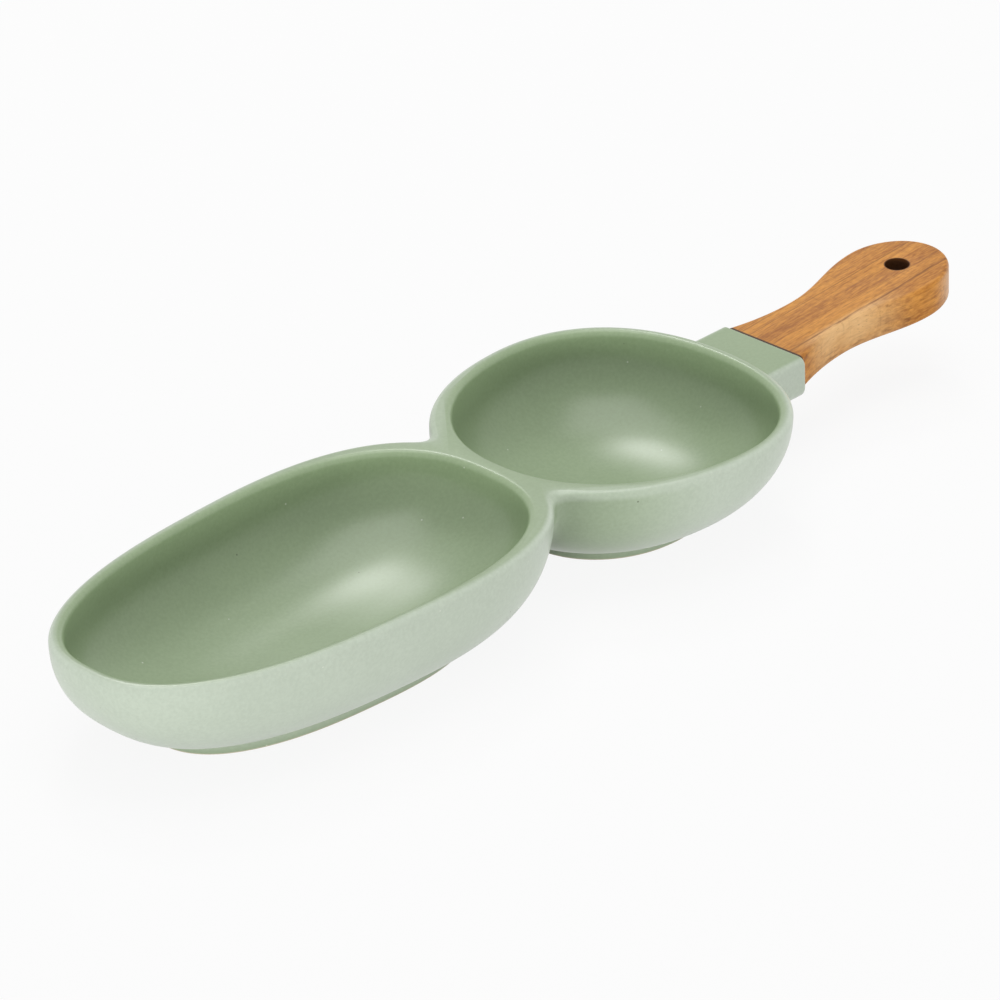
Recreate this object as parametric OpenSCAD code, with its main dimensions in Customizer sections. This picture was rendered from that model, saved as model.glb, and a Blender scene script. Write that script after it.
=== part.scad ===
// Double olive dish: an oval and a round bowl of glazed stoneware, cast as one piece.
// A socket at the round end takes the tenon of a flat hardwood handle with a hanging hole.
// The oval bowl is for the olives and the round one for the stones or a dip.

/* [Oval bowl] */
// Length over the rim
oval_length = 180.5; // [150:0.5:210]
// Width over the rim
oval_width = 96; // [88:0.5:112]
// Squareness of the outline: 2 is an ellipse, more is boxier
oval_squareness = 2.55; // [2:0.05:3]
// Widening of the outline towards the neck, as a share of the width
oval_widening_share = 0.115; // [0:0.005:0.2]
// Length of the wall's lower edge
oval_base_length = 137; // [104:0.5:144]
// Width of the wall's lower edge
oval_base_width = 71; // [54:0.5:76]
// Shift of the lower edge towards the neck
oval_base_shift = 4.25; // [0:0.25:6]
// How much shorter the foot is at the neck
oval_foot_setback = 10; // [0:0.5:24]

/* [Round bowl] */
// Length over the rim
round_length = 118; // [100:0.5:140]
// Width over the rim
round_width = 110; // [96:0.5:126]
// Squareness of the outline: 2 is an ellipse, more is boxier
round_squareness = 2.2; // [2:0.05:3]
// Widening of the outline towards the handle, as a share of the width
round_widening_share = 0.1; // [0:0.005:0.2]
// Length of the wall's lower edge
round_base_length = 68; // [54:0.5:82]
// Width of the wall's lower edge
round_base_width = 67.5; // [54:0.5:82]
// Shift of the lower edge towards the handle
round_base_shift = -3; // [-5:0.25:4]

/* [Walls] */
// Height of the rim above the table
dish_height = 37.25; // [33:0.25:50]
// Radius of the rounding on either side of the rim
rim_radius = 2.2; // [1.4:0.1:3.6]
// Flat left along the crest of the rim
rim_land = 0.4; // [0.2:0.1:2]
// Fullness of the outer wall: 2 is a quarter ellipse, less is more sloping
wall_fullness = 2.1; // [1.5:0.05:2.4]
// Share of that curve which the wall runs through: below 1 it meets the foot at an angle
wall_run_share = 0.92; // [0.8:0.01:0.98]
// Fullness of the hollow: 2 is a quarter ellipse, more is boxier
hollow_fullness = 2.3; // [1.9:0.05:2.6]
// Thickness of the floor above the recess of the foot
floor_thickness = 5.5; // [4:0.5:8]
// Size of the flat floor, as a share of the hollow's mouth
floor_share = 0.1; // [0.05:0.05:0.55]

/* [Feet] */
// Height of the foot
foot_height = 4.4; // [3:0.1:7]
// Step from the wall's lower edge in to the foot
foot_step = 2.8; // [0.6:0.1:4]
// Width of the ring that the foot stands on
foot_ring = 6; // [4:0.5:9]
// Depth of the recess inside the ring
foot_recess = 2; // [1:0.25:3]

/* [Neck] */
// How far the two rims run into each other
neck_overlap = 11; // [7:0.5:14]
// Thickness of the wall between the two hollows
neck_wall = 7.5; // [6:0.5:12]
// Reach of the soft blend between the bowls' outer walls
neck_blend = 9.5; // [6:0.5:16]

/* [Collar] */
// Reach of the collar beyond the round bowl's rim
collar_reach = 20; // [14:0.2:26]
// Width of the collar
collar_width = 36.5; // [33:0.5:42]
// Height of the collar
collar_height = 15.6; // [14.5:0.1:18]
// Drop from the rim to the collar's top
collar_drop = 4.3; // [3.5:0.1:8]
// Rounding of the collar's upper edges
collar_edge = 2.6; // [1.2:0.1:4]
// Rounding of the collar's lower edges
collar_under_edge = 4.8; // [1.6:0.1:6]
// Chamfer round the collar's end
collar_chamfer = 0.5; // [0.2:0.1:1]

/* [Handle] */
// Length from the collar to the tip
handle_length = 88.6; // [78:0.2:120]
// Thickness of the wood
handle_thickness = 12.5; // [9.5:0.25:13]
// Width at the collar
handle_joint_width = 33; // [26:0.2:33]
// Width at the waist
handle_waist_width = 23.8; // [18:0.2:26]
// Waist's distance from the collar
handle_waist_at = 28.2; // [22:0.2:36]
// Width at the head
handle_head_width = 36.6; // [28:0.2:42]
// Widest point of the head, from the collar
handle_head_at = 66.4; // [56:0.2:70]
// Rounding of the wood's edges
handle_edge = 1.6; // [0.6:0.1:2.4]
// Upward tilt of the handle, in degrees
handle_tilt = 3.7; // [0:0.1:5]
// Drop from the collar's top to the wood's top
handle_drop = 0.6; // [0.4:0.1:1.6]
// Diameter of the hanging hole
hole_diameter = 8.5; // [5:0.25:12]
// Hanging hole's distance from the collar
hole_at = 70; // [66:0.5:74]

/* [Joint] */
// Length of the tenon inside the collar
tenon_length = 14; // [10:0.5:18]
// Width of the tenon
tenon_width = 22; // [16:0.5:24]
// Thickness of the tenon
tenon_thickness = 7.5; // [5:0.25:8]
// Glue line round the tenon
glue_gap = 0.4; // [0.2:0.1:0.8]
// Glue left at the tenon's end
glue_pad = 0.8; // [0.4:0.1:1.5]
// Open joint between the collar and the wood's shoulder
shoulder_gap = 0.4; // [0.2:0.1:0.8]

/* [Hidden] */

// Colours of the glaze, the wood and the glue
glaze_colour = "#9DAE93";
wood_colour = "#B47C46";
glue_colour = "#CDBB8E";

// Points round a bowl, steps of the rim, the wall and the hollow, and halvings of the outline search
ring_points = 96;
rim_steps = 3;
wall_steps = 9;
hollow_points = 64;
hollow_steps = 9;
search_halvings = 15;
// Crowding of the points towards the two ends of a bowl, where the outline turns most
crowding_share = 0.62;
// Overrun of cuts, and overlap of the two halves at the neck
overrun = 1;
seam_overlap = 0.02;
// How deep the collar is rooted in the round bowl, as a share of the bowl's length
collar_root_share = 0.25;
// How far the tenon runs on inside the wood
tenon_root = 14;
// Facets of the small roundings and of the hanging hole
edge_facets = 24;
bore_facets = 64;

// The neck plane is where x is zero before the part is centred
rim_base = dish_height - rim_radius;
oval_centre = (neck_overlap - oval_length) / 2;
round_centre = (round_length - neck_overlap) / 2;
rim_width = 2 * rim_radius + rim_land;
oval_free_end = neck_overlap / 2 - oval_length;
round_far_end = round_length - neck_overlap / 2;
floor_level = foot_recess + floor_thickness;

// The wood's middle plane meets the collar's end face at the joint
collar_end = round_far_end + collar_reach;
collar_top = dish_height - collar_drop;
joint_level = collar_top - handle_drop - handle_thickness / 2;
collar_lean = tan(handle_tilt);

// The part is centred between the oval's free end and the handle's tip
tip_reach = handle_length * cos(handle_tilt) + (handle_thickness / 2 - handle_edge) * sin(handle_tilt);
centre_shift = -(oval_free_end + collar_end + tip_reach) / 2;

// A bowl: centre, length, width, squareness and widening, then the lower edge's length, width and shift,
// and how much shorter the foot is at the neck
OVAL = [oval_centre, oval_length, oval_width, oval_squareness, oval_widening_share,
    oval_base_length, oval_base_width, oval_base_shift, oval_foot_setback];
ROUND = [round_centre, round_length, round_width, round_squareness, round_widening_share,
    round_base_length, round_base_width, round_base_shift, 0];

// Quarter of a superellipse: how far in, and how far down, after a turn of a degrees
function inward(a, fullness) = 1 - pow(max(cos(a), 0), 2 / fullness);
function downward(a, fullness) = pow(max(sin(a), 0), 2 / fullness);
function mix(a, b, share) = a + (b - a) * share;

// The wall's curve stops after this turn, so that its lower edge stands out over the foot
wall_turn = asin(pow(wall_run_share, wall_fullness / 2));

// One level of a bowl's outside: height, outline's centre, length and width
function rim_level(bowl, a) = let (inset = rim_radius * (1 - sin(a)))
    [rim_base + rim_radius * cos(a), bowl[0], bowl[1] - 2 * inset, bowl[2] - 2 * inset];
function wall_level(bowl, a) = let (
    share = inward(a, wall_fullness) / inward(wall_turn, wall_fullness),
    down = downward(a, wall_fullness) / wall_run_share)
    [mix(rim_base, foot_height, down),
    bowl[0] + bowl[7] * share,
    mix(bowl[1], bowl[5], share),
    mix(bowl[2], bowl[6], share)];
function foot_level(bowl, z, inset) = [z, bowl[0] + bowl[7] - bowl[8] / 2,
    bowl[5] - bowl[8] - 2 * inset, bowl[6] - 2 * inset];
function levels(bowl) = [
    for (i = [0:rim_steps]) rim_level(bowl, 90 * i / rim_steps),
    for (i = [1:wall_steps]) wall_level(bowl, wall_turn * i / wall_steps),
    foot_level(bowl, foot_height, foot_step),
    foot_level(bowl, 0, foot_step)];

// Egg-shaped outline: a superellipse that widens along x
function egg_reach(u, v, n) = pow(pow(abs(u), n) + pow(abs(v), n), 1 / n);
function outside_egg(x, y, bowl, level) = let (
    u = (x - level[1]) / (level[2] / 2),
    v = y / (level[3] / 2 * (1 + bowl[4] * max(-1, min(1, u)))),
    reach = egg_reach(u, v, bowl[3]))
    norm([x - level[1], y]) * (1 - 1 / max(reach, seam_overlap));
function egg_point(bowl, level, a) = let (
    u = sign(cos(a)) * pow(abs(cos(a)), 2 / bowl[3]),
    v = sign(sin(a)) * pow(abs(sin(a)), 2 / bowl[3]))
    [level[1] + level[2] / 2 * u, level[3] / 2 * v * (1 + bowl[4] * u), level[0]];

// The two outlines at one level, blended where they are about equally far
function blended(p, i) = let (
    a = outside_egg(p[0], p[1], OVAL, OVAL_LEVELS[i]),
    b = outside_egg(p[0], p[1], ROUND, ROUND_LEVELS[i]),
    near = max(neck_blend - abs(a - b), 0) / neck_blend)
    min(a, b) - near * near * neck_blend / 4;

// Points round a bowl, crowded towards its two ends
function crowded(i) = let (turn = 360 * i / ring_points)
    turn - crowding_share * sin(2 * turn) * 180 / PI / 2;

// Walk out from a bowl's centre to the blended outline, but no further than the neck plane
function along(bowl, a, r) = [bowl[0] + r * cos(a), r * sin(a)];
function neck_limit(bowl, a) = let (
    side = bowl[0] < 0 ? 1 : -1,
    way = side * cos(a),
    room = abs(bowl[0]) + seam_overlap)
    way * bowl[1] > room ? room / way : bowl[1];
function halve(bowl, a, i, low, high, left) = let (middle = (low + high) / 2)
    left == 0 ? middle
    : blended(along(bowl, a, middle), i) < 0 ? halve(bowl, a, i, middle, high, left - 1)
    : halve(bowl, a, i, low, middle, left - 1);
function out_to(bowl, a, i) = let (limit = neck_limit(bowl, a))
    blended(along(bowl, a, limit), i) <= 0 ? limit
    : halve(bowl, a, i, 0, limit, search_halvings);
function outside_ring(bowl, i, z) = [
    for (k = [0:ring_points - 1]) let (a = crowded(k), p = along(bowl, a, out_to(bowl, a, i)))
        [p[0], p[1], z]];

OVAL_LEVELS = levels(OVAL);
ROUND_LEVELS = levels(ROUND);

// The hollow of a bowl: its mouth keeps the rim's width all round, but half the neck wall at the neck
function mouth_level(bowl, z, grow) = let (
    side = bowl[0] < 0 ? 1 : -1,
    neck_end = -side * neck_wall / 2,
    far_end = bowl[0] - side * (bowl[1] / 2 - rim_width))
    [z, (neck_end + far_end) / 2, abs(neck_end - far_end) + 2 * grow,
    bowl[2] - 2 * rim_width + 2 * grow];
function hollow_level(bowl, a) = let (
    mouth = mouth_level(bowl, rim_base, 0),
    share = inward(a, hollow_fullness) * (1 - floor_share))
    [mix(rim_base, floor_level, downward(a, hollow_fullness)), mouth[1],
    mouth[2] * (1 - share), mouth[3] * (1 - share)];
function hollow_levels(bowl) = [
    mouth_level(bowl, dish_height + overrun, rim_radius),
    for (i = [0:rim_steps - 1]) let (a = 90 * i / rim_steps)
        mouth_level(bowl, rim_base + rim_radius * cos(a), rim_radius * (1 - sin(a))),
    for (i = [0:hollow_steps]) hollow_level(bowl, 90 * i / hollow_steps)];
function egg_ring(bowl, level, points) = [
    for (k = [0:points - 1]) egg_point(bowl, level, 360 * k / points)];

// Skin over a stack of closed rings, from the top one to the lowest
module skinned(rings) {
    n = len(rings[0]);
    last = len(rings) - 1;
    top = [rings[0][0][0] + rings[0][n / 2][0], 0, 2 * rings[0][0][2]] / 2;
    base = [rings[last][0][0] + rings[last][n / 2][0], 0, 2 * rings[last][0][2]] / 2;
    points = [for (ring = rings) each ring, top, base];
    sides = [for (i = [0:last - 1], k = [0:n - 1]) let (a = i * n + k, b = i * n + (k + 1) % n)
        each [[a, b, a + n], [b, b + n, a + n]]];
    lid = [for (k = [0:n - 1]) [n * (last + 1), (k + 1) % n, k]];
    bottom = [for (k = [0:n - 1]) [n * (last + 1) + 1, last * n + k, last * n + (k + 1) % n]];
    polyhedron(points, concat(sides, lid, bottom));
}

// Outside of one bowl, from the crest of its rim to the foot, up to the neck plane
module bowl_outside(bowl, bowl_levels) {
    skinned([for (i = [0:len(bowl_levels) - 1]) outside_ring(bowl, i, bowl_levels[i][0])]);
}

// Hollow of one bowl: a chain of slices from above the rim to the floor
module bowl_hollow(bowl) {
    steps = hollow_levels(bowl);
    rings = [for (level = steps) egg_ring(bowl, level, hollow_points)];
    for (i = [0:len(rings) - 2])
        hull()
            polyhedron(concat(rings[i], rings[i + 1]),
                [[for (k = [0:hollow_points - 1]) k],
                [for (k = [0:hollow_points - 1]) hollow_points + k]]);
}

// Shallow recess under a bowl, inside the ring that it stands on
module foot_hollow(bowl) {
    ring = egg_ring(bowl, foot_level(bowl, 0, foot_step + foot_ring), hollow_points);
    translate([0, 0, -overrun])
        linear_extrude(foot_recess + overrun)
            polygon([for (p = ring) [p[0], p[1]]]);
}

// Moves children from the wood's own frame to the joint: x runs out along the handle
module at_joint() {
    translate([collar_end, 0, joint_level])
        rotate([0, -handle_tilt, 0])
            children();
}

// Block with rounded edges, rooted in the bowl's wall, its chamfered end face square to the handle
module collar_block() {
    root = round_far_end - collar_root_share * round_length;
    hull()
        for (side = [-1, 1], top = [false, true]) {
            edge = top ? collar_edge : collar_under_edge;
            y = side * (collar_width / 2 - edge);
            z = top ? collar_top - edge : collar_top - collar_height + edge;
            translate([root, y, z])
                rotate([0, 90, 0])
                    cylinder(h = collar_chamfer, r = edge, $fn = edge_facets);
            translate([collar_end - (z - joint_level) * collar_lean, y, z])
                rotate([0, -90 - handle_tilt, 0])
                    cylinder(h = collar_chamfer, r1 = edge - collar_chamfer, r2 = edge, $fn = edge_facets);
        }
}

// Socket for the tenon, with room for the glue
module socket() {
    at_joint()
        translate([-tenon_length - glue_pad, -tenon_width / 2 - glue_gap, -tenon_thickness / 2 - glue_gap])
            cube([tenon_length + glue_pad + overrun, tenon_width + 2 * glue_gap,
                tenon_thickness + 2 * glue_gap]);
}

module dish_body() {
    color(glaze_colour)
        translate([centre_shift, 0, 0])
            difference() {
                union() {
                    bowl_outside(OVAL, OVAL_LEVELS);
                    bowl_outside(ROUND, ROUND_LEVELS);
                    collar_block();
                }
                bowl_hollow(OVAL);
                bowl_hollow(ROUND);
                foot_hollow(OVAL);
                foot_hollow(ROUND);
                socket();
            }
}

// Half outline of the wood from the shoulder to the tip, drawn in by an inset
outline_steps = 8;
function handle_half(inset) = let (
    joint = handle_joint_width / 2 - inset,
    waist = handle_waist_width / 2 - inset,
    head = handle_head_width / 2 - inset,
    tip = handle_length - handle_head_at - inset)
    [for (i = [0:outline_steps - 1]) let (t = i / outline_steps)
        [mix(shoulder_gap, handle_waist_at, t), waist + (joint - waist) * (1 - t) * (1 - t)],
    for (i = [0:outline_steps - 1]) let (t = i / outline_steps)
        [mix(handle_waist_at, handle_head_at, t), mix(waist, head, (1 - cos(180 * t)) / 2)],
    for (i = [0:outline_steps]) let (a = 90 * i / outline_steps)
        [handle_head_at + tip * sin(a), i == outline_steps ? 0 : head * cos(a)]];
function handle_ring(inset, z) = let (half = handle_half(inset), n = len(half))
    [for (p = half) [p[0], p[1], z], for (i = [n - 2:-1:0]) [half[i][0], -half[i][1], z]];

// Flat board with eased edges: rings from the lower face up to the upper one
module handle_board() {
    side = [for (i = [0:rim_steps]) let (a = 90 * i / rim_steps)
        [handle_edge * (1 - sin(a)), handle_thickness / 2 - handle_edge * (1 - cos(a))]];
    rings = [for (s = side) handle_ring(s[0], s[1]),
        for (i = [rim_steps:-1:0]) handle_ring(side[i][0], -side[i][1])];
    n = len(rings[0]);
    last = len(rings) - 1;
    half = (n + 1) / 2;
    sides = [for (i = [0:last - 1], k = [0:n - 1]) let (a = i * n + k, b = i * n + (k + 1) % n)
        each [[a, a + n, b], [b, a + n, b + n]]];
    // the faces are filled with strips from one edge of the outline to the other
    strips = [for (k = [0:half - 2]) k == half - 2 ? [k, k + 1, n - 1 - k]
        : [k, k + 1, n - 2 - k, n - 1 - k]];
    lower = [for (f = strips) [for (i = [len(f) - 1:-1:0]) last * n + f[i]]];
    polyhedron([for (ring = rings) each ring], concat(sides, strips, lower));
}

module handle() {
    color(wood_colour)
        translate([centre_shift, 0, 0])
            at_joint()
                difference() {
                    union() {
                        handle_board();
                        translate([-tenon_length, -tenon_width / 2, -tenon_thickness / 2])
                            cube([tenon_length + tenon_root, tenon_width, tenon_thickness]);
                    }
                    translate([hole_at, 0, -handle_thickness / 2 - overrun])
                        cylinder(d = hole_diameter, h = handle_thickness + 2 * overrun, $fn = bore_facets);
                }
}

// Hardened glue that fills the socket round the tenon, short of the mouth
module glue_line() {
    color(glue_colour)
        translate([centre_shift, 0, 0])
            at_joint()
                difference() {
                    translate([-tenon_length - glue_pad, -tenon_width / 2 - glue_gap,
                        -tenon_thickness / 2 - glue_gap])
                        cube([tenon_length, tenon_width + 2 * glue_gap, tenon_thickness + 2 * glue_gap]);
                    translate([-tenon_length, -tenon_width / 2, -tenon_thickness / 2])
                        cube([tenon_length + overrun, tenon_width, tenon_thickness]);
                }
}

dish_body();
handle();
glue_line();
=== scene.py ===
import math
from collections import namedtuple

import bpy
import numpy as np
from mathutils import Matrix, Vector


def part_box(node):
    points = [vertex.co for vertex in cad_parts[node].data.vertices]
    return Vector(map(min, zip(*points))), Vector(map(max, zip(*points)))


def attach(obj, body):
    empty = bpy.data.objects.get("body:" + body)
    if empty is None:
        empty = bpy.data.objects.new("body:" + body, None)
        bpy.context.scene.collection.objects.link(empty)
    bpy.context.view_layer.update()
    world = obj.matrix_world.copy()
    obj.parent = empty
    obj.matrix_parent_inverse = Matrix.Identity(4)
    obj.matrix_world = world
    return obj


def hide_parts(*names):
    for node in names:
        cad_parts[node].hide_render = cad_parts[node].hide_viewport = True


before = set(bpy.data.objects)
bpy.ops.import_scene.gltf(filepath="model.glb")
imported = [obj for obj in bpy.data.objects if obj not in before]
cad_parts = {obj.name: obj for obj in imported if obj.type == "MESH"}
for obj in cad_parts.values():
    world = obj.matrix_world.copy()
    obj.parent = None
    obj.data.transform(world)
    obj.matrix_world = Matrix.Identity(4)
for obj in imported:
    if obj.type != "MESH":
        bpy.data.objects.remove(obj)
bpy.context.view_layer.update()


# Dish: one stoneware casting of an oval and a round bowl that meet at a neck, with two stepped feet
# and a collar for the handle. It is slip-cast, dipped in a sage green satin glaze that thins to a
# paler line on every edge, wiped clean under the feet, and fired. Its colour also holds painted light
# and shade: paler outer walls and a painted highlight on the wall's lower edge, and painted shade in
# the neck's valley and on the foot bands.
MM = 0.001
Bowl = namedtuple("Bowl", "centre length width squareness widening "
                          "base_length base_width base_shift foot_setback")
dish_low, dish_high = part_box("dish_body")
oval_length = 180.5 * MM
round_length = 118 * MM
neck_overlap = 11 * MM
neck_wall = 7.5 * MM
neck_blend = 9.5 * MM
neck_x = dish_low.x + oval_length - neck_overlap / 2
oval_bowl = Bowl(centre=neck_x + (neck_overlap - oval_length) / 2, length=oval_length, width=96 * MM,
                 squareness=2.55, widening=0.115, base_length=137 * MM, base_width=71 * MM,
                 base_shift=4.25 * MM, foot_setback=10 * MM)
round_bowl = Bowl(centre=neck_x + (round_length - neck_overlap) / 2, length=round_length, width=110 * MM,
                  squareness=2.2, widening=0.1, base_length=68 * MM, base_width=67.5 * MM,
                  base_shift=-3 * MM, foot_setback=0)
rim_height = dish_high.z
rim_radius = 2.2 * MM
rim_land = 0.4 * MM
rim_base = rim_height - rim_radius
rim_width = 2 * rim_radius + rim_land
wall_fullness = 2.1
wall_run = 0.92
hollow_fullness = 2.3
hollow_floor = 7.5 * MM
floor_share = 0.1
foot_height = 4.4 * MM
foot_step = 2.8 * MM
foot_ring = 6 * MM
foot_recess = 2 * MM
foot_edge = 0.5 * MM
foot_bend_share = 0.3
collar_reach = 20 * MM
collar_width = 36.5 * MM
collar_height = 15.6 * MM
collar_drop = 4.3 * MM
collar_edge = 2.6 * MM
collar_under_edge = 4.8 * MM
collar_chamfer = 0.5 * MM
collar_root_zone = 2 * MM
handle_tilt = math.radians(3.7)
handle_thickness = 12.5 * MM
handle_drop = 0.6 * MM
tenon_length = 14 * MM
tenon_width = 22 * MM
tenon_thickness = 7.5 * MM
glue_gap = 0.4 * MM
glue_pad = 0.8 * MM
collar_end = round_bowl.centre + round_bowl.length / 2 + collar_reach
collar_top = rim_height - collar_drop
joint_level = collar_top - handle_drop - handle_thickness / 2
at_joint = Matrix.Translation((collar_end, 0, joint_level)) @ Matrix.Rotation(-handle_tilt, 4, "Y")
cut_overrun = 1 * MM
weld_distance = MM / 1000
least_neck = MM / 100
nearly_zero = 0.001
ring_points = 256
rim_rings = 9
wall_rings = 44
neck_points = 8
collar_points = 128
corner_points = 9
collar_bend_rings = 5
collar_run_rings = 49
flat_angle = math.radians(1)
dish_crease = math.radians(40)


def superellipse_inset(depth, fullness):
    """How far in a wall's curve lies, from 0 to 1, at a depth from 0 to 1."""
    return 1 - (1 - depth ** fullness) ** (1 / fullness)


def foot_level(bowl, inset):
    """Centre, length and width of an outline that lies inside the wall's lower edge, as the foot does."""
    return (bowl.centre + bowl.base_shift - bowl.foot_setback / 2 + 0 * inset,
            bowl.base_length - bowl.foot_setback - 2 * inset, bowl.base_width - 2 * inset)


def outside_levels(bowl):
    """Height, centre, length and width of a bowl's outlines, from the rim's crest to the table."""
    turn = np.linspace(0, math.pi / 2, rim_rings)
    inset = rim_radius * (1 - np.sin(turn))
    rim = [rim_base + rim_radius * np.cos(turn), bowl.centre + 0 * turn,
           bowl.length - 2 * inset, bowl.width - 2 * inset]
    depth = np.sin(np.linspace(0, math.pi / 2, wall_rings))[1:]
    share = superellipse_inset(wall_run * depth, wall_fullness) / superellipse_inset(wall_run, wall_fullness)
    wall = [rim_base + (foot_height - rim_base) * depth, bowl.centre + bowl.base_shift * share,
            bowl.length + (bowl.base_length - bowl.length) * share,
            bowl.width + (bowl.base_width - bowl.width) * share]
    bend = foot_bend_share * foot_edge
    foot_z = np.array([foot_height, foot_edge, bend, 0])
    foot = [foot_z, *foot_level(bowl, foot_step + np.array([0, 0, bend, foot_edge]))]
    return [np.concatenate(rows)[:, None] for rows in zip(rim, wall, foot)]


def beyond_outline(x, y, bowl, levels):
    """How far a point lies outside a bowl's egg-shaped outline, less than 0 inside it."""
    _, centre, length, width = levels
    u = (x - centre) / (length / 2)
    v = y / (width / 2 * (1 + bowl.widening * np.clip(u, -1, 1)))
    reach = (np.abs(u) ** bowl.squareness + np.abs(v) ** bowl.squareness) ** (1 / bowl.squareness)
    return np.hypot(x - centre, y) * (1 - 1 / np.maximum(reach, nearly_zero))


def beyond_dish(x, y, levels=outside_levels):
    """The same for both bowls, with a soft blend where they meet at the neck."""
    oval = beyond_outline(x, y, oval_bowl, levels(oval_bowl))
    rounded = beyond_outline(x, y, round_bowl, levels(round_bowl))
    near = np.maximum(neck_blend - np.abs(oval - rounded), 0) / neck_blend
    return np.minimum(oval, rounded) - near * near * neck_blend / 4


def furthest_inside(beyond, limit):
    """Halves towards the last distance at which a point still lies inside the dish."""
    halvings = 40
    low, high = 0 * limit, limit
    for _ in range(halvings):
        middle = (low + high) / 2
        inside = beyond(middle) < 0
        low, high = np.where(inside, middle, low), np.where(inside, high, middle)
    return low


def outside_rings(bowl):
    """Rings of a bowl's outside, walked out from its middle to the dish's skin or the neck plane."""
    end_crowding = 0.62
    height = outside_levels(bowl)[0]
    to_neck = neck_x - bowl.centre
    side = math.copysign(1, to_neck)
    half_neck = furthest_inside(lambda y: beyond_dish(neck_x, y), bowl.width + 0 * height)
    step = (np.arange(ring_points) + ring_points // 2) % ring_points - ring_points // 2
    turn = step * 2 * math.pi / ring_points
    turn = turn - end_crowding * np.sin(2 * turn) / 2
    first = turn[neck_points]
    corner = np.where(half_neck > least_neck, np.arctan2(half_neck, abs(to_neck)), first / 2)
    share = (np.abs(turn) - first) / (math.pi - first)
    turn = np.sign(step) * np.where(share < 0, corner * np.abs(turn) / first,
                                    corner + (math.pi - corner) * share)
    ahead, aside = side * np.cos(turn), side * np.sin(turn)
    limit = np.where(np.cos(turn) * bowl.length > abs(to_neck),
                     abs(to_neck) / np.maximum(np.cos(turn), nearly_zero), bowl.length)
    reach = furthest_inside(lambda r: beyond_dish(bowl.centre + r * ahead, r * aside), limit)
    at_neck = (np.abs(step) <= neck_points) & (half_neck > least_neck)
    x = np.where(at_neck, neck_x, bowl.centre + reach * ahead)
    y = np.where(at_neck, side * half_neck * step / neck_points, reach * aside)
    return np.stack([x, y, height + 0 * x], axis=-1)


def egg_ring(bowl, centre, length, width, height, turn):
    """One egg-shaped ring at a height, at each turn round the bowl."""
    u = np.sign(np.cos(turn)) * np.abs(np.cos(turn)) ** (2 / bowl.squareness)
    v = np.sign(np.sin(turn)) * np.abs(np.sin(turn)) ** (2 / bowl.squareness)
    return np.stack([centre + length / 2 * u, width / 2 * v * (1 + bowl.widening * u),
                     height + 0 * u], axis=-1)


def hollow_rings(bowl):
    """Rings of a bowl's hollow, from above the rim, over its rounding, to the flat floor."""
    side = math.copysign(1, neck_x - bowl.centre)
    neck_end = neck_x - side * neck_wall / 2
    far_end = bowl.centre - side * (bowl.length / 2 - rim_width)
    mouth_centre, mouth_length = (neck_end + far_end) / 2, abs(neck_end - far_end)
    mouth_width = bowl.width - 2 * rim_width
    turn = np.arange(ring_points) * 2 * math.pi / ring_points
    levels = [(rim_height + cut_overrun, rim_radius, 0)]
    for a in np.linspace(0, math.pi / 2, rim_rings)[:-1]:
        levels.append((rim_base + rim_radius * math.cos(a), rim_radius * (1 - math.sin(a)), 0))
    for a in np.linspace(0, math.pi / 2, wall_rings):
        share = superellipse_inset(math.sin(a), hollow_fullness) * (1 - floor_share)
        levels.append((rim_base + (hollow_floor - rim_base) * math.sin(a), 0, share))
    return np.stack([egg_ring(bowl, mouth_centre, mouth_length * (1 - share) + 2 * grow,
                              mouth_width * (1 - share) + 2 * grow, height, turn)
                     for height, grow, share in levels])


def recess_rings(bowl):
    """Rings of the shallow recess inside the ring that a bowl stands on."""
    turn = np.arange(ring_points) * 2 * math.pi / ring_points
    return np.stack([egg_ring(bowl, *foot_level(bowl, foot_step + foot_ring), height, turn)
                     for height in (foot_recess, -cut_overrun)])


def collar_rings():
    """Rounded oblongs from the collar's end, over its eased edge, back to its root in the round bowl."""
    root = round_bowl.centre + round_bowl.length / 4
    bend = np.linspace(0, math.pi / 2, collar_bend_rings)
    run = np.linspace(collar_chamfer, collar_end - root, collar_run_rings + 1)[1:]
    back = np.concatenate([collar_chamfer * (1 - np.cos(bend)), run])
    inset = np.concatenate([collar_chamfer * (1 - np.sin(bend)), 0 * run])
    rings = []
    for distance, less in zip(back, inset):
        corners = []
        for quarter, radius in enumerate((collar_edge, collar_edge, collar_under_edge, collar_under_edge)):
            turn = (quarter + np.linspace(0, 1, corner_points)) * math.pi / 2
            corner = math.copysign(collar_width / 2 - radius, math.cos(turn[corner_points // 2]))
            y = corner + (radius - less) * np.cos(turn)
            middle = collar_top - radius if quarter < 2 else collar_top - collar_height + radius
            corners.append(np.stack([y, middle + (radius - less) * np.sin(turn)], axis=1))
        loop = np.concatenate(corners + [corners[0][:1]])
        walked = np.concatenate([[0], np.cumsum(np.hypot(*np.diff(loop, axis=0).T))])
        step = np.linspace(0, walked[-1], collar_points + 1)[:-1]
        y, z = np.interp(step, walked, loop[:, 0]), np.interp(step, walked, loop[:, 1])
        lean = (z - joint_level) * math.tan(handle_tilt) * (1 - distance / (collar_end - root))
        rings.append(np.stack([collar_end - distance - lean, y, z], axis=1))
    return np.stack(rings)


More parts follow.
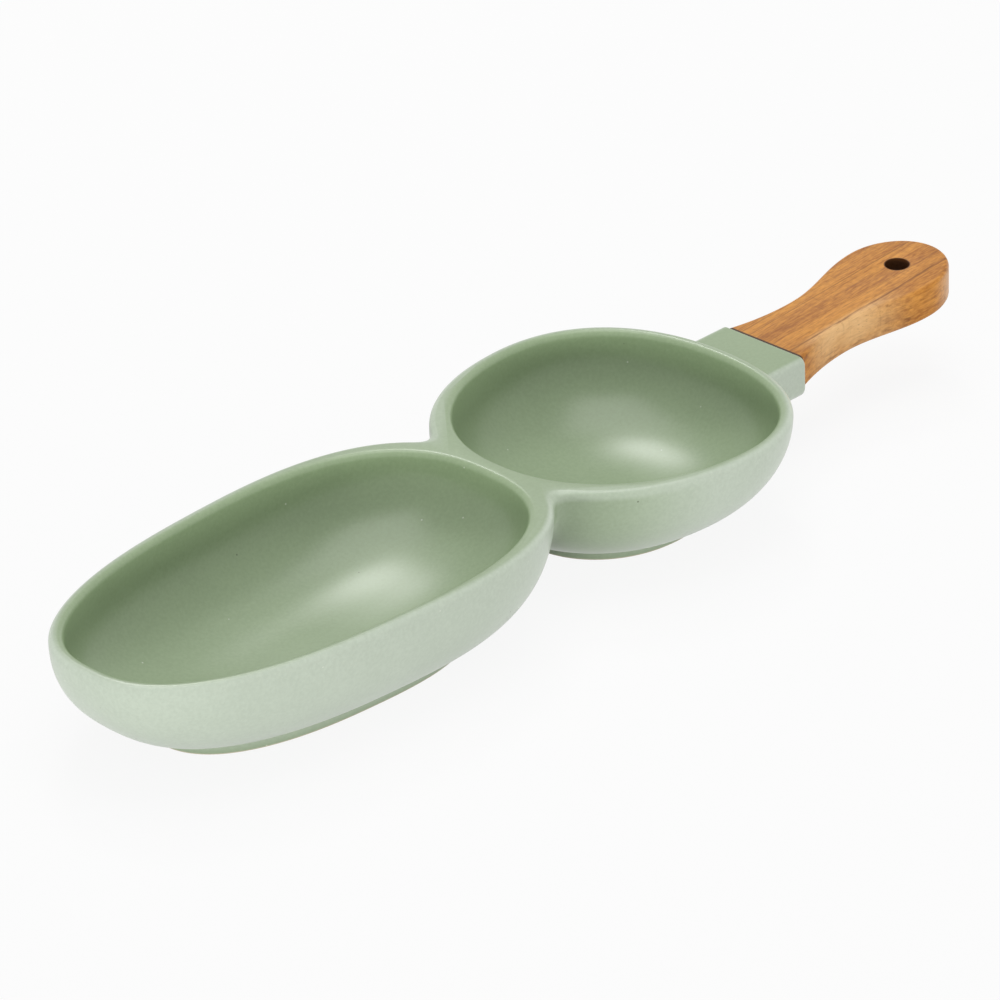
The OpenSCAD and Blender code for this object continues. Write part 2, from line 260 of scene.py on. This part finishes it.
def stretched_sphere(name, rings):
    """A sphere whose rings are pulled to the given ones, with its poles in the middle of the end rings."""
    count, points = rings.shape[:2]
    bpy.ops.object.select_all(action="DESELECT")
    bpy.ops.mesh.primitive_uv_sphere_add(segments=points, ring_count=count + 1, radius=1)
    made = bpy.context.object
    made.name = name
    place = np.array([v.co for v in made.data.vertices])
    ring = np.rint(np.arccos(np.clip(place[:, 2], -1, 1)) / math.pi * (count + 1)).astype(int)
    step = np.rint(np.arctan2(place[:, 1], place[:, 0]) / (2 * math.pi) * points).astype(int) % points
    moved = rings[np.clip(ring - 1, 0, count - 1), step]
    moved[ring == 0] = rings[0].mean(axis=0)
    moved[ring == count + 1] = rings[-1].mean(axis=0)
    made.data.vertices.foreach_set("co", moved.ravel())
    made.data.update()
    return made


def finish_with(piece, kind, **settings):
    """Adds a modifier with its settings and applies it."""
    bpy.context.view_layer.objects.active = piece
    added = piece.modifiers.new(kind.lower(), kind)
    for setting, value in settings.items():
        setattr(added, setting, value)
    bpy.ops.object.modifier_apply(modifier=added.name)


def join_solid(piece, other, operation):
    """Fuses another solid with the piece, or cuts it away, and removes it."""
    finish_with(piece, "BOOLEAN", operation=operation, solver="MANIFOLD", object=other)
    bpy.data.objects.remove(other)


def select_flat(piece, axis, level):
    """Selects the faces that lie in a plane across an axis, and stays in edit mode."""
    off_plane = np.array([abs(v.co[axis] - level) for v in piece.data.vertices])
    flat = [bool((off_plane[list(face.vertices)] < weld_distance).all()) for face in piece.data.polygons]
    bpy.ops.object.mode_set(mode="EDIT")
    bpy.ops.mesh.select_mode(type="FACE")
    bpy.ops.object.mode_set(mode="OBJECT")
    piece.data.polygons.foreach_set("select", flat)
    bpy.ops.object.mode_set(mode="EDIT")


def open_at_neck(piece):
    """Removes the faces that lie in the neck plane."""
    select_flat(piece, axis=0, level=neck_x)
    bpy.ops.mesh.delete(type="FACE")
    bpy.ops.object.mode_set(mode="OBJECT")
    return piece


def block(name, low, high):
    """A cube stretched between two corners."""
    bpy.ops.object.select_all(action="DESELECT")
    bpy.ops.mesh.primitive_cube_add(size=1)
    made = bpy.context.object
    made.name = name
    low, high = Vector(low), Vector(high)
    for vertex in made.data.vertices:
        vertex.co = [low[i] if vertex.co[i] < 0 else high[i] for i in range(3)]
    return made


dish = open_at_neck(stretched_sphere("dish", outside_rings(oval_bowl)))
open_at_neck(stretched_sphere("round_outside", outside_rings(round_bowl)))
dish.select_set(True)
bpy.context.view_layer.objects.active = dish
bpy.ops.object.join()
bpy.ops.object.mode_set(mode="EDIT")
bpy.ops.mesh.select_all(action="SELECT")
bpy.ops.mesh.remove_doubles(threshold=weld_distance)
bpy.ops.object.mode_set(mode="OBJECT")
join_solid(dish, stretched_sphere("collar", collar_rings()), "UNION")
for bowl in (oval_bowl, round_bowl):
    join_solid(dish, stretched_sphere("hollow", hollow_rings(bowl)), "DIFFERENCE")
    join_solid(dish, stretched_sphere("recess", recess_rings(bowl)), "DIFFERENCE")
half_width, half_height = tenon_width / 2 + glue_gap, tenon_thickness / 2 + glue_gap
socket = block("socket", (-tenon_length - glue_pad, -half_width, -half_height),
               (cut_overrun, half_width, half_height))
socket.data.transform(at_joint)
join_solid(dish, socket, "DIFFERENCE")

# The cuts leave the rim's flat land in slivers, which are merged to whole faces.
bpy.context.view_layer.objects.active = dish
select_flat(dish, axis=2, level=rim_height)
bpy.ops.mesh.dissolve_limited(angle_limit=flat_angle)
bpy.ops.object.mode_set(mode="OBJECT")

# The glaze flows into the corner at the collar's root and softens it.
place = np.array([v.co for v in dish.data.vertices])
heights, *sizes = (np.flip(row[:, 0]) for row in outside_levels(round_bowl))
level = [None] + [np.interp(place[:, 2], heights, row) for row in sizes]
off_wall = np.abs(beyond_outline(place[:, 0], place[:, 1], round_bowl, level))
off_collar = np.abs(np.max([np.abs(place[:, 1]) - collar_width / 2, place[:, 2] - collar_top,
                            collar_top - collar_height - place[:, 2]], axis=0))
softened = dish.vertex_groups.new(name="collar_root")
for index in np.flatnonzero((off_wall + off_collar < collar_root_zone) & (place[:, 0] > round_bowl.centre)):
    softened.add([int(index)], 1, "REPLACE")
finish_with(dish, "SMOOTH", factor=0.5, iterations=12, vertex_group="collar_root")
bpy.ops.object.select_all(action="DESELECT")
dish.select_set(True)
bpy.ops.object.shade_smooth_by_angle(angle=dish_crease)


def store(piece, name, values):
    """Keeps one number for each point of the mesh, for its material."""
    piece.data.attributes.new(name, "FLOAT", "POINT").data.foreach_set("value", values.astype(np.float32))


def soft_step(low, high, value):
    """0 below low, 1 above high, and a soft step from one to the other."""
    share = np.clip((value - low) / (high - low), 0, 1)
    return share * share * (3 - 2 * share)


def glaze_depth_and_painted_light(piece):
    """How deep the glaze lies at each point: 0 where it ran thin, 1 where it lies deep. Painted light and
    shade go in as well: outward-facing walls count as thin, for painted light, and the neck's valley and the
    foot band count as deep, for painted shade.
    """
    facing_up, facing_out = (-0.1, 0), (0.05, 0.7)
    neck_shade_from, neck_shade_to = (-12 * MM, -1 * MM), (6 * MM, 52 * MM)
    foot_shade_top = (foot_height - 0.3 * MM, foot_height + 0.1 * MM)
    rim_start = (rim_base - 1 * MM, rim_base + 0.4 * MM)
    thin_rim = (0.8 * MM, 3.2 * MM)
    collar_from, collar_aside = (25 * MM, 45 * MM), (15 * MM, 30 * MM)
    # Shares of deep green: painted shade at the neck and on the foot band, glaze that pools by the collar.
    neck_shade_depth, foot_shade_depth, collar_pool = 0.75, 0.8, 0.8
    neck_shade_rim_share = 0.5
    place = np.array([v.co for v in piece.data.vertices])
    facing = np.array([v.normal for v in piece.data.vertices])
    x, y, z = place.T
    from_middle = place - np.where(place[:, :1] < neck_x, oval_bowl.centre, round_bowl.centre) * [1, 0, 0]
    outward = (facing * from_middle)[:, :2].sum(axis=1) > 0
    turned_out = np.where(outward, np.hypot(facing[:, 0], facing[:, 1]), 0)
    # Outward-facing walls get the paler green of thin glaze, which also holds painted light on those walls.
    depth = soft_step(*facing_up, facing[:, 2]) * (1 - soft_step(*facing_out, turned_out))
    # Painted shade: the walls beside the neck's valley, and the rim there, are given the deep green.
    painted_neck_shade = neck_shade_depth * soft_step(*neck_shade_from, x - neck_x) * (1 - soft_step(*neck_shade_to, x - neck_x))
    # Painted shade: the foot band under the wall's overhang gets the deep green.
    painted_foot_shade = foot_shade_depth * (1 - soft_step(*foot_shade_top, z))
    depth = np.maximum(np.maximum(depth, painted_neck_shade), painted_foot_shade)
    in_from_rim = -beyond_dish(x, y, lambda bowl: (None, bowl.centre, bowl.length, bowl.width))
    by_collar = soft_step(*collar_from, x - round_bowl.centre) * (1 - soft_step(*collar_aside, np.abs(y)))
    # On the rim, deep green near the neck is painted shade; near the collar it is glaze that pools.
    pool_and_shade = np.maximum(neck_shade_rim_share * painted_neck_shade, collar_pool * by_collar)
    rim_depth = np.maximum(soft_step(*thin_rim, in_from_rim), pool_and_shade)
    return depth + (rim_depth - depth) * soft_step(*rim_start, z)


store(dish, "glaze_depth_and_painted_light", glaze_depth_and_painted_light(dish))


class Wire:
    """A socket of a material. Arithmetic on it adds Math nodes, and node() adds any other node."""

    def __init__(self, tree, socket=None):
        self.tree = tree
        self.socket = socket

    def node(self, kind, settings=None, inputs=None, output=0):
        made = self.tree.nodes.new(kind)
        for name, value in (settings or {}).items():
            setattr(made, name, value)
        for name, value in (inputs or {}).items():
            if isinstance(value, Wire):
                self.tree.links.new(value.socket, made.inputs[name])
            else:
                made.inputs[name].default_value = value
        return Wire(self.tree, made.outputs[output])

    def maths(self, operation, other=0.0):
        return self.node("ShaderNodeMath", {"operation": operation}, {0: self, 1: other})

    def between(self, low, high):
        """0 below low, 1 above high, and a soft step from one to the other."""
        return self.node("ShaderNodeMapRange", {"interpolation_type": "SMOOTHSTEP"},
                         {"Value": self, "From Min": low, "From Max": high})

    def mixed(self, first, second):
        """A colour between two, by this value."""
        return self.node("ShaderNodeMix", {"data_type": "RGBA"}, {0: self, 6: first, 7: second}, output=2)

    def __add__(self, other):
        return self.maths("ADD", other)

    def __sub__(self, other):
        return self.maths("SUBTRACT", other)

    def __rsub__(self, other):
        return self.node("ShaderNodeMath", {"operation": "SUBTRACT"}, {0: other, 1: self})

    def __mul__(self, other):
        return self.maths("MULTIPLY", other)

    __radd__ = __add__
    __rmul__ = __mul__


def new_material(name):
    """A material's empty start: a wire to build from, and its main shader."""
    made = bpy.data.materials.new(name)
    made.use_nodes = True
    return made, Wire(made.node_tree), made.node_tree.nodes["Principled BSDF"]


def coat(piece, material):
    """Gives the whole piece one material."""
    piece.data.materials.clear()
    piece.data.materials.append(material)
    piece.data.polygons.foreach_set("material_index", np.zeros(len(piece.data.polygons), int))


def plug(shader, name, wire):
    """Links a wire to a shader's socket."""
    wire.tree.links.new(wire.socket, shader.inputs[name])


def glaze_finish():
    """Satin glaze: deeper green where it pools in the bowls, paler on the rims, bare under the feet. Its
    colour also holds painted light on the outer walls, a painted highlight on the wall's lower edge, and
    painted shade in the neck's valley and on the foot band.
    """
    pooled_green = (0.266, 0.350, 0.206, 1)
    wall_green_and_painted_light = (0.480, 0.546, 0.450, 1)
    thin_glaze_and_highlight = (0.780, 0.780, 0.710, 1)
    mottle_dark = (0.93, 0.935, 0.925, 1)
    mottle_light = (1.05, 1.045, 1.05, 1)
    iron_brown = (0.070, 0.075, 0.045, 1)
    pale_speck = (0.660, 0.690, 0.600, 1)
    bare_clay = (0.600, 0.540, 0.420, 1)
    line_blur, line_top, line_fade = 0.1 * MM, 0.3 * MM, 0.9 * MM
    bare_from, bare_to = 0.25 * MM, 0.7 * MM
    speck_scale = 330
    made, wire, shader = new_material("sage_glaze")
    place = wire.node("ShaderNodeTexCoord", output="Object")
    height = wire.node("ShaderNodeSeparateXYZ", inputs={"Vector": place}, output="Z")
    depth = wire.node("ShaderNodeAttribute", {"attribute_name": "glaze_depth_and_painted_light"}, output="Fac")
    # Paler green on thin glaze and outward walls, with painted light there; deep green where the glaze pools
    # and where shade is painted.
    colour = depth.mixed(wall_green_and_painted_light, pooled_green)
    # A pale line at the wall's lower edge: thin glaze on the edge, with a painted highlight.
    lower_edge_highlight = (height.between(foot_height - line_blur, foot_height + line_blur)
                  * (1 - height.between(foot_height + line_top, foot_height + line_fade)))
    colour = (lower_edge_highlight * 0.8).mixed(colour, thin_glaze_and_highlight)
    cloud = wire.node("ShaderNodeTexNoise", inputs={"Vector": place, "Scale": 34, "Detail": 3})
    grain = wire.node("ShaderNodeTexNoise", inputs={"Vector": place, "Scale": 820, "Detail": 3,
                                                    "Roughness": 0.6})
    mottle = (cloud * 0.35 + grain * 0.65).between(0.3, 0.7).mixed(mottle_dark, mottle_light)
    colour = wire.node("ShaderNodeMix", {"data_type": "RGBA", "blend_type": "MULTIPLY"},
                       {0: 1, 6: colour, 7: mottle}, output=2)
    spots = wire.node("ShaderNodeTexVoronoi", inputs={"Vector": place, "Scale": speck_scale})
    which = wire.node("ShaderNodeTexVoronoi", inputs={"Vector": place, "Scale": speck_scale}, output="Color")
    lottery = wire.node("ShaderNodeSeparateColor", inputs={"Color": which})
    dark = (1 - spots.between(0.06, 0.15)) * lottery.between(0.980, 0.982)
    pale = (1 - spots.between(0.05, 0.13)) * (1 - lottery.between(0.018, 0.020))
    colour = (dark * 0.8).mixed(colour, iron_brown)
    colour = (pale * 0.7).mixed(colour, pale_speck)
    bare = 1 - height.between(bare_from, bare_to)
    plug(shader, "Base Color", bare.mixed(colour, bare_clay))
    plug(shader, "Roughness", 0.27 + grain * 0.08 + bare * 0.4)
    ripple = wire.node("ShaderNodeTexNoise", inputs={"Vector": place, "Scale": 420, "Detail": 2})
    bump = wire.node("ShaderNodeBump", inputs={"Height": ripple, "Strength": 0.05, "Distance": 0.2 * MM})
    plug(shader, "Normal", bump)
    return made


coat(dish, glaze_finish())
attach(dish, "root")
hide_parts("dish_body")


# Handle: a flat board of oiled acacia, cut to a waisted outline with a round head, its edges eased
# on a router and its hole drilled for a hook. A tenon at its end is glued into the dish's collar.
handle_length = 88.6 * MM
handle_joint_width = 33 * MM
handle_waist_width = 23.8 * MM
handle_waist_at = 28.2 * MM
handle_head_width = 36.6 * MM
handle_head_at = 66.4 * MM
handle_edge = 1.6 * MM
shoulder_gap = 0.4 * MM
hole_diameter = 8.5 * MM
hole_at = 70 * MM
hole_edge = 0.5 * MM
handle_crease = math.radians(35)
square_edge = math.radians(50)


def handle_outline(steps):
    """Half outline from the shoulder to the tip: a curve to the waist, a wave to the head, a round end."""
    share = np.arange(steps) / steps
    waist, joint, head = handle_waist_width / 2, handle_joint_width / 2, handle_head_width / 2
    neck = np.stack([shoulder_gap + (handle_waist_at - shoulder_gap) * share,
                     waist + (joint - waist) * (1 - share) ** 2], axis=1)
    wave = np.stack([handle_waist_at + (handle_head_at - handle_waist_at) * share,
                     waist + (head - waist) * (1 - np.cos(math.pi * share)) / 2], axis=1)
    turn = math.pi / 2 * np.arange(steps + 1) / steps
    end = np.stack([handle_head_at + (handle_length - handle_head_at) * np.sin(turn),
                    head * np.cos(turn)], axis=1)
    return np.concatenate([neck, wave, end])


def edge_weights(piece, weigh):
    """Gives each edge the share of a bevel's width that a rule returns for its two ends."""
    weight = piece.data.attributes.new("bevel_weight_edge", "FLOAT", "EDGE")
    for edge, value in zip(piece.data.edges, weight.data):
        value.value = weigh(*(piece.data.vertices[i].co for i in edge.vertices))


half = handle_outline(steps=28)
outline = np.concatenate([half, half[-2::-1] * [1, -1]])
bpy.ops.object.select_all(action="DESELECT")
bpy.ops.mesh.primitive_circle_add(vertices=len(outline), radius=1, fill_type="NGON")
handle = bpy.context.object
handle.name = "handle_wood"
for vertex, (x, y) in zip(handle.data.vertices, outline):
    vertex.co = (x, y, -handle_thickness / 2)
bpy.ops.object.mode_set(mode="EDIT")
bpy.ops.mesh.select_all(action="SELECT")
bpy.ops.mesh.extrude_region_move(TRANSFORM_OT_translate={"value": (0, 0, handle_thickness)})
bpy.ops.mesh.select_all(action="SELECT")
bpy.ops.mesh.normals_make_consistent(inside=False)
bpy.ops.object.mode_set(mode="OBJECT")
shoulder = shoulder_gap + weld_distance
edge_weights(handle, lambda a, b: 0 if max(a.x, b.x) < shoulder or abs(a.z - b.z) > handle_edge else 1)
finish_with(handle, "BEVEL", width=handle_edge, segments=5, limit_method="WEIGHT")
join_solid(handle, block("tenon", (-tenon_length, -tenon_width / 2, -tenon_thickness / 2),
                         (handle_waist_at / 2, tenon_width / 2, tenon_thickness / 2)), "UNION")
bpy.ops.object.select_all(action="DESELECT")
bpy.ops.mesh.primitive_cylinder_add(vertices=64, radius=hole_diameter / 2, depth=2 * handle_thickness,
                                    location=(hole_at, 0, 0))
drill = bpy.context.object
join_solid(handle, drill, "DIFFERENCE")
finish_with(handle, "BEVEL", width=hole_edge, segments=3, limit_method="ANGLE", angle_limit=square_edge)
handle.data.transform(at_joint)
bpy.ops.object.select_all(action="DESELECT")
handle.select_set(True)
bpy.context.view_layer.objects.active = handle
bpy.ops.object.shade_smooth_by_angle(angle=handle_crease)


def acacia_finish():
    """Oiled acacia: straight grain, dark growth lines, saw marks, open pores, and a pale near side of sap
    wood made paler still by painted light.
    """
    heart_brown = (0.300, 0.100, 0.015, 1)
    gold_brown = (0.640, 0.285, 0.052, 1)
    dark_line = (0.110, 0.032, 0.008, 1)
    sapwood_and_painted_light = (0.800, 0.510, 0.240, 1)
    pale_head_tone = (0.760, 0.560, 0.400, 1)
    bore_shade_brown = (0.050, 0.015, 0.004, 1)
    joint_shadow = (0.020, 0.008, 0.003, 1)
    pale_from, pale_to, pale_depth = (2 * MM, 20 * MM), (30 * MM, 62 * MM), (-12 * MM, -8 * MM)
    end_from, end_aside = (66 * MM, 88 * MM), (-4 * MM, 6 * MM)
    line_at, line_wander, line_width = 10.4 * MM, 2.4 * MM, (0.1 * MM, 0.7 * MM)
    joint_line = (1.2 * MM, 1.6 * MM)
    made, wire, shader = new_material("oiled_acacia")
    place = wire.node("ShaderNodeTexCoord", output="Object")
    moved = wire.node("ShaderNodeMapping", inputs={"Vector": place,
                                                   "Location": (-collar_end, 0, -joint_level)})
    along = wire.node("ShaderNodeMapping", inputs={"Vector": moved, "Rotation": (0, handle_tilt, 0)})
    x, y, z = (wire.node("ShaderNodeSeparateXYZ", inputs={"Vector": along}, output=axis) for axis in "XYZ")

    def noise(scale, detail, distortion=0.0):
        """Noise that is drawn out along the grain by a scale for each axis."""
        drawn = wire.node("ShaderNodeMapping", inputs={"Vector": along, "Scale": scale})
        return wire.node("ShaderNodeTexNoise", inputs={"Vector": drawn, "Scale": 1, "Detail": detail,
                                                       "Distortion": distortion})

    band = noise(scale=(9, 330, 260), detail=4, distortion=0.3)
    fibre = noise(scale=(110, 1500, 1500), detail=3)
    fleck = noise(scale=(300, 1300, 1300), detail=2)
    colour = (band * 0.45 + fibre * 0.25 + fleck * 0.3).between(0.34, 0.66).mixed(heart_brown, gold_brown)
    patch = noise(scale=(34, 90, 90), detail=2)
    # The near side face is paler: sap wood, with painted light that lightens that side.
    pale_lit_side = (1 - y.between(*pale_depth)) * x.between(*pale_from) * (1 - x.between(*pale_to))
    colour = (pale_lit_side * (patch.between(0.2, 0.7) * 0.6 + fleck * 0.5)).mixed(colour, sapwood_and_painted_light)
    top = z.between(handle_thickness / 2 - handle_edge, handle_thickness / 2)
    # The near side of the round head is paler.
    tip = x.between(*end_from) * (1 - y.between(*end_aside)) * (1 - top)
    colour = (tip * 0.85).mixed(colour, pale_head_tone)
    growth = noise(scale=(4, 620, 420), detail=2, distortion=0.3)
    colour = (growth.between(0.58, 0.72) * 0.5).mixed(colour, dark_line)
    wander = noise(scale=(30, 1, 1), detail=2)
    from_line = (y + (line_at - line_wander / 2) + wander * line_wander).maths("ABSOLUTE")
    on_line = (1 - from_line.between(*line_width)) * fibre.between(0.3, 0.55)
    colour = (on_line * 0.7).mixed(colour, dark_line)
    saw = noise(scale=(620, 110, 110), detail=3)
    colour = (saw.between(0.55, 0.75) * 0.16).mixed(colour, dark_line)
    pores = wire.node("ShaderNodeMapping", inputs={"Vector": along, "Scale": (240, 2600, 2600)})
    pore = wire.node("ShaderNodeTexVoronoi", inputs={"Vector": pores, "Scale": 1})
    open_pore = (1 - pore.between(0.12, 0.3)) * fibre.between(0.45, 0.6)
    colour = (open_pore * 0.45).mixed(colour, dark_line)
    # Painted shade: the drilled hole and its eased edge are darkened.
    off_hole = wire.node("ShaderNodeVectorMath", {"operation": "MULTIPLY_ADD"},
                         {0: along, 1: (1, 1, 0), 2: (-hole_at, 0, 0)})
    from_hole = wire.node("ShaderNodeVectorMath", {"operation": "LENGTH"}, {0: off_hole}, output="Value")
    painted_bore_shade = (1 - from_hole.between(hole_diameter / 2, hole_diameter / 2 + hole_edge)) * 0.95
    colour = painted_bore_shade.mixed(colour, bore_shade_brown)
    colour = ((1 - x.between(*joint_line)) * 0.95).mixed(colour, joint_shadow)
    plug(shader, "Base Color", colour)
    plug(shader, "Roughness", 0.46 + fibre * 0.15)
    shader.inputs["Specular IOR Level"].default_value = 0.25
    relief = fibre * 0.6 - open_pore * 0.8 + saw * 0.3
    bump = wire.node("ShaderNodeBump", inputs={"Height": relief, "Strength": 0.2, "Distance": 0.15 * MM})
    plug(shader, "Normal", bump)
    return made


coat(handle, acacia_finish())
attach(handle, "root")
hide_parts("handle")


# Glue line: the hardened adhesive between the tenon and the collar's socket, squeezed in when the
# handle is pressed home. It fills the clearance and is hidden once the joint is closed.
def glue_finish():
    """Hard amber glue, a little cloudy."""
    clear_amber = (0.55, 0.44, 0.22, 1)
    cloudy_amber = (0.68, 0.58, 0.34, 1)
    made, wire, shader = new_material("amber_glue")
    place = wire.node("ShaderNodeTexCoord", output="Object")
    cloud = wire.node("ShaderNodeTexNoise", inputs={"Vector": place, "Scale": 300, "Detail": 2})
    plug(shader, "Base Color", cloud.mixed(clear_amber, cloudy_amber))
    plug(shader, "Roughness", 0.3 + cloud * 0.2)
    return made


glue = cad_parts["glue_line"]
coat(glue, glue_finish())


# Floor: a wide pale sheet that the dish stands on. The camera sees it as near white, and it keeps
# the dish's soft shadow.
floor_size = 12
floor_drop = 0.05 * MM


def seen_directly(wire):
    """1 where the camera looks, straight or by way of a reflection or a clear body, and 0 elsewhere."""
    return sum(wire.node("ShaderNodeLightPath", output=ray)
               for ray in ("Is Camera Ray", "Is Glossy Ray", "Is Transmission Ray"))


def paper_finish():
    """Pale paper, which the camera and reflections see lifted towards white."""
    paper_grey = (0.7, 0.7, 0.7, 1)
    paper_white = (1, 1, 1, 1)
    lifted = 0.9
    made, wire, shader = new_material("pale_paper")
    shader.inputs["Base Color"].default_value = paper_grey
    shader.inputs["Roughness"].default_value = 0.9
    shader.inputs["Specular IOR Level"].default_value = 0
    white = wire.node("ShaderNodeEmission", inputs={"Color": paper_white, "Strength": 1})
    lift = wire.node("ShaderNodeMixShader", inputs={0: seen_directly(wire) * lifted, 2: white})
    tree = made.node_tree
    tree.links.new(shader.outputs[0], lift.socket.node.inputs[1])
    tree.links.new(lift.socket, tree.nodes["Material Output"].inputs["Surface"])
    return made


bpy.ops.object.select_all(action="DESELECT")
bpy.ops.mesh.primitive_plane_add(size=floor_size, location=(0, 0, -floor_drop))
floor = bpy.context.object
floor.name = "floor"
coat(floor, paper_finish())


# Light: an even white surround, one soft box behind the dish that gleams in the two bowls, a wide
# one overhead, and two low strips that light the outer walls and the handle's side but not the bowls.
surround_level = 0.5


def soft_box(name, azimuth, elevation, distance, width, height, watts):
    """A soft box that faces the dish from an azimuth, counted from +X, and an elevation."""
    lamp = bpy.data.lights.new(name, "AREA")
    lamp.shape = "RECTANGLE"
    lamp.size = width
    lamp.size_y = height
    lamp.energy = watts
    box = bpy.data.objects.new(name, lamp)
    bpy.context.scene.collection.objects.link(box)
    turn, rise = math.radians(azimuth), math.radians(elevation)
    away = Vector((math.cos(turn) * math.cos(rise), math.sin(turn) * math.cos(rise), math.sin(rise)))
    box.location = away * distance
    box.rotation_mode = "QUATERNION"
    box.rotation_quaternion = away.to_track_quat("Z", "Y")
    return box


soft_box("back_box", azimuth=53, elevation=48, distance=3, width=0.6, height=0.6, watts=17)
soft_box("top_box", azimuth=50, elevation=80, distance=1.5, width=1.1, height=1.1, watts=9.5)
for name, azimuth, watts in (("left_strip", -165, 13), ("right_strip", -70, 8)):
    strip = soft_box(name, azimuth, elevation=4.5, distance=1.6, width=1.2, height=0.16, watts=watts)
    strip.visible_glossy = False
world = bpy.data.worlds.new("surround")
world.use_nodes = True
bpy.context.scene.world = world
sky = Wire(world.node_tree)
surround = world.node_tree.nodes["Background"]
surround.inputs["Color"].default_value = (1, 1, 1, 1)
plug(surround, "Strength", surround_level + seen_directly(sky) * (1 - surround_level))


# Camera: a long lens from the oval bowl's side, looking down along the dish.
camera_azimuth = math.radians(-46.795)
camera_elevation = math.radians(28.491)
camera_lens = 180
camera_sensor = 36
camera_distance = 1562.5 * MM
aim = Vector((-33.69 * MM, -13.81 * MM, 34.5 * MM))
back = Vector((math.sin(camera_azimuth) * math.cos(camera_elevation),
               -math.cos(camera_azimuth) * math.cos(camera_elevation), math.sin(camera_elevation)))
camera = bpy.data.objects.new("camera", bpy.data.cameras.new("camera"))
bpy.context.scene.collection.objects.link(camera)
camera.data.lens = camera_lens
camera.data.sensor_width = camera_sensor
camera.location = aim + back * camera_distance
camera.rotation_mode = "QUATERNION"
camera.rotation_quaternion = back.to_track_quat("Z", "Y")
bpy.context.scene.camera = camera
bpy.context.scene.view_settings.view_transform = "Standard"
